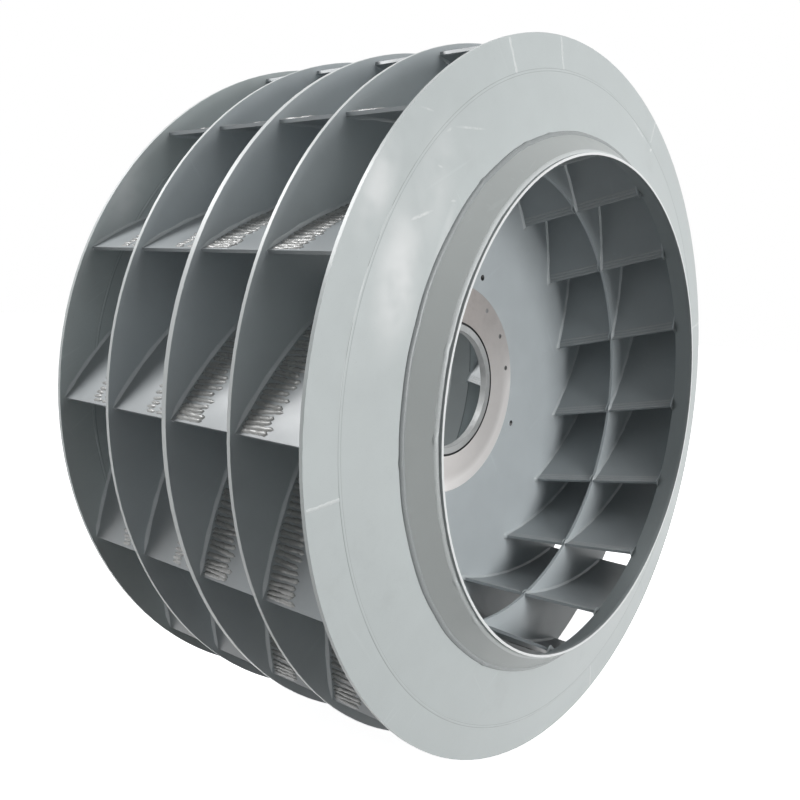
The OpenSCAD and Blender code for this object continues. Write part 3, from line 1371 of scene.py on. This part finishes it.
class Wheel:
    """The fan wheel: its finishes, its welds and its dressed plates."""

    foot_leg = 0.0095
    front_leg = 0.006
    front_spill = 0.002
    front_dip = 0.0008
    fold_leg = 0.007
    groove_blur = 0.0012
    rub_depth = 0.0004

    def __init__(self, sizes: WheelSizes, effects: Effects) -> None:
        """Make the finishes of the wheel.

        Args:
            sizes: Sizes read from the frame.
            effects: The shared node groups.
        """
        self.sizes = sizes
        self.shroud = PaintFinish(
            "shroud_paint", srgb(198, 205, 205), gloss=0.36, smudge=0.8, seam_r=sizes.fold_r
        ).make(effects)
        self.disc = PaintFinish(
            "disc_paint", srgb(192, 199, 202), edge_r=sizes.rim_r - self.rub_depth, edge_width=0.001,
            hollow_face=sizes.disc_face, hollow_r=sizes.groove_r + self.groove_blur / 2,
        ).make(effects)
        # The blades get the plates' grey, darkened: painted shade of the deep bays between the plates
        self.blade = PaintFinish("blade_paint", srgb(160, 166, 169)).make(effects)
        self.collar = PaintFinish("collar_paint", srgb(186, 191, 190), cloud=0.15).make(effects)
        self.inlet = PaintFinish(
            "inlet_paint", srgb(150, 156, 157), cloud=0.15, edge_colour=srgb(246, 248, 248),
            lip_face=sizes.lip_face - self.rub_depth,
        ).make(effects)
        self.weld = WeldFinish("weld_paint", srgb(192, 198, 200)).make(effects)
        self.bead = WeldFinish(
            "bead_paint", srgb(158, 159, 157), gloss=0.26, ripple=0.9, ripple_scale=420.0,
            highlight=0.9, coat=0.6,
        ).make(effects)
        self.leading_bead = WeldFinish(
            "leading_bead_paint", srgb(172, 176, 177), ripple=0.7, ripple_scale=420.0
        ).make(effects)
        self.foot_weld = WeldFinish("foot_weld_paint", srgb(150, 155, 156)).make(effects)
        # Near-white paint on the collar's front weld and on the flange seams: painted highlight on
        # these ridges
        self.bright_weld = WeldFinish("collar_weld_paint", srgb(214, 219, 219)).make(effects)
        self.facing = TurnedSteelFinish(
            "facing_steel", srgb(174, 168, 165), srgb(160, 154, 151), metal=0.25,
            groove=(0.1, sizes.groove_r + self.groove_blur), painted_highlight=(math.radians(-48), 0.222, 0.268),
        ).make(effects)
        self.sleeve = TurnedSteelFinish(
            "sleeve_steel", srgb(180, 182, 182), srgb(160, 162, 162), rough=0.48,
            metal=0.28, groove=(sizes.sleeve_r - self.groove_blur, 1.0),
        ).make(effects)
        self.screw = TurnedSteelFinish(
            "screw_steel", srgb(150, 150, 150), srgb(112, 110, 108), rough=0.42, ring_scale=1500.0
        ).make(effects)

    def finish_of(self, node: str) -> bpy.types.Material:
        """Choose the finish of a CAD node.

        Args:
            node: Name of the node.

        Returns:
            The finish of the first word that the name holds, or the disc's paint.
        """
        by_word = {
            "blade": self.blade,
            "flange": self.shroud,
            "cone": self.shroud,
            "collar": self.collar,
            "inlet": self.inlet,
            "facing": self.facing,
            "sleeve": self.sleeve,
            "screws": self.screw,
        }
        for word, finish in by_word.items():
            if word in node:
                return finish
        return self.disc

    def dress_plates(self) -> None:
        """Give each CAD node its finish."""
        for name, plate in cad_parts.items():
            for slot in plate.material_slots:
                slot.material = self.finish_of(name)
            LOG.info("%s: %s", name, self.finish_of(name).name)

    def weld_blades(self) -> None:
        """Add the fillet welds and the beads of all four bays."""
        for side in Side:
            for bay in Bay:
                BladeWelds(self.sizes, side, bay).build(self.weld)
                HardFacing(self.sizes, side, bay).build(self.bead)
                LeadingBeads(self.sizes, side, bay).build(self.leading_bead)

    def weld_collars(self) -> None:
        """Add the beads at the foot and at the front edge of each collar."""
        sizes = self.sizes
        front_face = sizes.lip_face - sizes.lip_stand
        lip_r = sizes.eye_r + sizes.lip_wall
        foot_in, foot_out = sizes.base_r - self.foot_leg / 2, sizes.base_r + self.foot_leg / 2
        fold_in, fold_out = sizes.fold_r - self.fold_leg / 2, sizes.fold_r + self.fold_leg / 2
        for side in Side:
            RingWeld(
                side, "collar_foot_weld",
                inner=(foot_in, sizes.base_face + self.foot_leg / 2),
                outer=(foot_out, sizes.shroud_face(foot_out)),
                bulge=0.0026, wave=0.0011, kinks=(-175.2, -122.7, 107.8, 116.4, 132.1),
            ).build(self.foot_weld, "inlet_paint")
            RingWeld(
                side, "collar_front_weld",
                inner=(lip_r, front_face + self.front_leg),
                outer=(lip_r + sizes.collar_wall + self.front_spill, front_face - self.front_dip),
                bulge=0.0012, wave=0.0008, ripple=0.3, kinks=(-179.2, -150.3, -138.5, 165.0),
            ).build(self.bright_weld, "inlet_paint")
            RingWeld(
                side, "fold_seam",
                inner=(fold_in, sizes.shroud_face(fold_in)),
                outer=(fold_out, sizes.shroud_face(fold_out)),
                bulge=0.0004, wave=0.0004,
            ).build(self.shroud, "shroud_paint")
            RingWeld(
                side, "inner_fold_seam",
                inner=(fold_out, sizes.shroud_inside(fold_out)),
                outer=(fold_in, sizes.shroud_inside(fold_in)),
                bulge=0.0007, wave=0.0022, waves=90, steep=1.0,
            ).build(self.shroud, "shroud_paint")
            FlangeSeams(sizes, side).build(self.bright_weld)

    def build(self) -> None:
        """Dress and weld the whole wheel."""
        self.dress_plates()
        self.weld_blades()
        self.weld_collars()


@dataclass(frozen=True)
class PhotoCamera:
    """Camera that looks at the wheel as the photograph does."""

    azimuth: float = math.radians(-56.4156)
    elevation: float = math.radians(6.856)
    roll: float = math.radians(3.0623)
    # Focal length, picture size and optical centre in points of the photograph
    focal_px: float = 811.45
    frame_px: float = 800.0
    centre_px: tuple[float, float] = (515.77, 395.61)
    # The wheel's middle seen from the camera, to the right, up and away, in wheel radii
    offset: tuple[float, float, float] = (-0.2174, 0.0226, 2.612)
    wheel_r: float = 0.8
    sensor_mm: float = 36.0

    def build(self) -> bpy.types.Object:
        """Make the camera.

        Returns:
            The camera object.
        """
        az, el = self.azimuth, self.elevation
        back = Vector((math.sin(az) * math.cos(el), -math.cos(az) * math.cos(el), math.sin(el)))
        flat_right = Vector((math.cos(az), math.sin(az), 0.0))
        flat_up = back.cross(flat_right)
        right = math.cos(self.roll) * flat_right + math.sin(self.roll) * flat_up
        up = math.cos(self.roll) * flat_up - math.sin(self.roll) * flat_right
        across, above, away = self.offset
        spot = self.wheel_r * (away * back - across * right - above * up)
        data = bpy.data.cameras.new("photo_camera")
        data.sensor_width = self.sensor_mm
        data.lens = self.focal_px * self.sensor_mm / self.frame_px
        data.shift_x = (self.frame_px / 2 - self.centre_px[0]) / self.frame_px
        data.shift_y = (self.centre_px[1] - self.frame_px / 2) / self.frame_px
        data.clip_start = 0.01
        data.clip_end = 60.0
        camera = bpy.data.objects.new("photo_camera", data)
        bpy.context.collection.objects.link(camera)
        turned = Matrix((right, up, back)).transposed().to_4x4()
        camera.matrix_world = Matrix.Translation(spot) @ turned
        bpy.context.scene.camera = camera
        LOG.info("camera at %s", tuple(round(v, 3) for v in spot))
        return camera


@dataclass(frozen=True)
class Lamp:
    """One soft area lamp, aimed at a point of the wheel."""

    name: str
    spot: tuple[float, float, float]
    aim: tuple[float, float, float]
    size: float
    watts: float

    def build(self) -> bpy.types.Object:
        """Make the lamp.

        Returns:
            The lamp object.
        """
        data = bpy.data.lights.new(self.name, "AREA")
        data.shape = "DISK"
        data.size = self.size
        data.energy = self.watts
        lamp = bpy.data.objects.new(self.name, data)
        bpy.context.collection.objects.link(lamp)
        lamp.location = self.spot
        towards = Vector(self.aim) - Vector(self.spot)
        lamp.rotation_mode = "QUATERNION"
        lamp.rotation_quaternion = towards.to_track_quat("-Z", "Y")
        return lamp


@dataclass(frozen=True)
class Studio:
    """Pale floor, white surroundings and soft lamps."""

    wheel_foot: float
    floor_gap: float = 0.001
    floor_size: float = 40.0
    floor_seen: Colour = (1.0, 1.0, 1.0)
    floor_lit: Colour = (0.16, 0.16, 0.16)
    glow: float = 0.93
    ambient: float = 0.13
    lamps: tuple[Lamp, ...] = (
        Lamp("front_lamp", (0.3, -4.9, 1.0), aim=(0.0, -0.4, 0.0), size=2.3, watts=136.0),
        Lamp("high_lamp", (0.2, -3.6, 3.4), aim=(0.0, -0.4, 0.0), size=2.4, watts=30.0),
        Lamp("back_lamp", (-2.6, 3.2, 3.6), aim=(-0.2, 0.0, 0.0), size=2.6, watts=226.0),
    )

    def seen_share(self, graph: Graph) -> bpy.types.NodeSocket:
        """Pick out the rays that show the surroundings as white.

        Args:
            graph: Graph of a material or of the world.

        Returns:
            1 for rays from the camera, reflections and clear parts, and 0 for light on the wheel.
        """
        path = graph.node("ShaderNodeLightPath").outputs
        direct = graph.math("MAXIMUM", path["Is Camera Ray"], path["Is Transmission Ray"])
        return graph.math("MAXIMUM", direct, path["Is Glossy Ray"])

    def build(self) -> None:
        """Make the floor, the world and the lamps."""
        self._floor()
        self._world()
        for lamp in self.lamps:
            lamp.build()

    def _floor(self) -> None:
        """Lay the floor under the wheel."""
        half = self.floor_size / 2
        mesh = bpy.data.meshes.new("studio_floor")
        corners = [(-half, -half, 0.0), (half, -half, 0.0), (half, half, 0.0), (-half, half, 0.0)]
        mesh.from_pydata(corners, [], [(0, 1, 2, 3)])
        floor = bpy.data.objects.new("studio_floor", mesh)
        floor.location.z = self.wheel_foot - self.floor_gap
        bpy.context.collection.objects.link(floor)
        made, graph, shader = new_material("studio_floor")
        seen = self.seen_share(graph)
        tone = graph.blend(seen, (*self.floor_lit, 1.0), (*self.floor_seen, 1.0))
        graph.feed(shader.inputs["Base Color"], tone)
        shader.inputs["Roughness"].default_value = 0.9
        glow = graph.math("MULTIPLY", seen, self.glow)
        shader.inputs["Emission Color"].default_value = (1.0, 1.0, 1.0, 1.0)
        graph.feed(shader.inputs["Emission Strength"], glow)
        mesh.materials.append(made)
        floor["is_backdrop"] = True

    def _world(self) -> None:
        """Surround the wheel with white."""
        world = bpy.context.scene.world or bpy.data.worlds.new("studio")
        bpy.context.scene.world = world
        world.use_nodes = True
        graph = Graph(world.node_tree)
        background = world.node_tree.nodes["Background"]
        background.inputs["Color"].default_value = (1.0, 1.0, 1.0, 1.0)
        seen = self.seen_share(graph)
        graph.feed(
            background.inputs["Strength"],
            graph.math("MULTIPLY_ADD", seen, 1.0 - self.ambient, self.ambient),
        )


def main() -> None:
    """Build the studio and the wheel."""
    logging.basicConfig(level=logging.INFO, format="%(name)s: %(message)s")
    bpy.context.scene.view_settings.view_transform = "Standard"
    PhotoCamera().build()
    Wheel(WheelSizes.from_frame(), Effects()).build()
    Studio(wheel_foot=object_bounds()[0][2]).build()


if __name__ == "__main__":
    main()
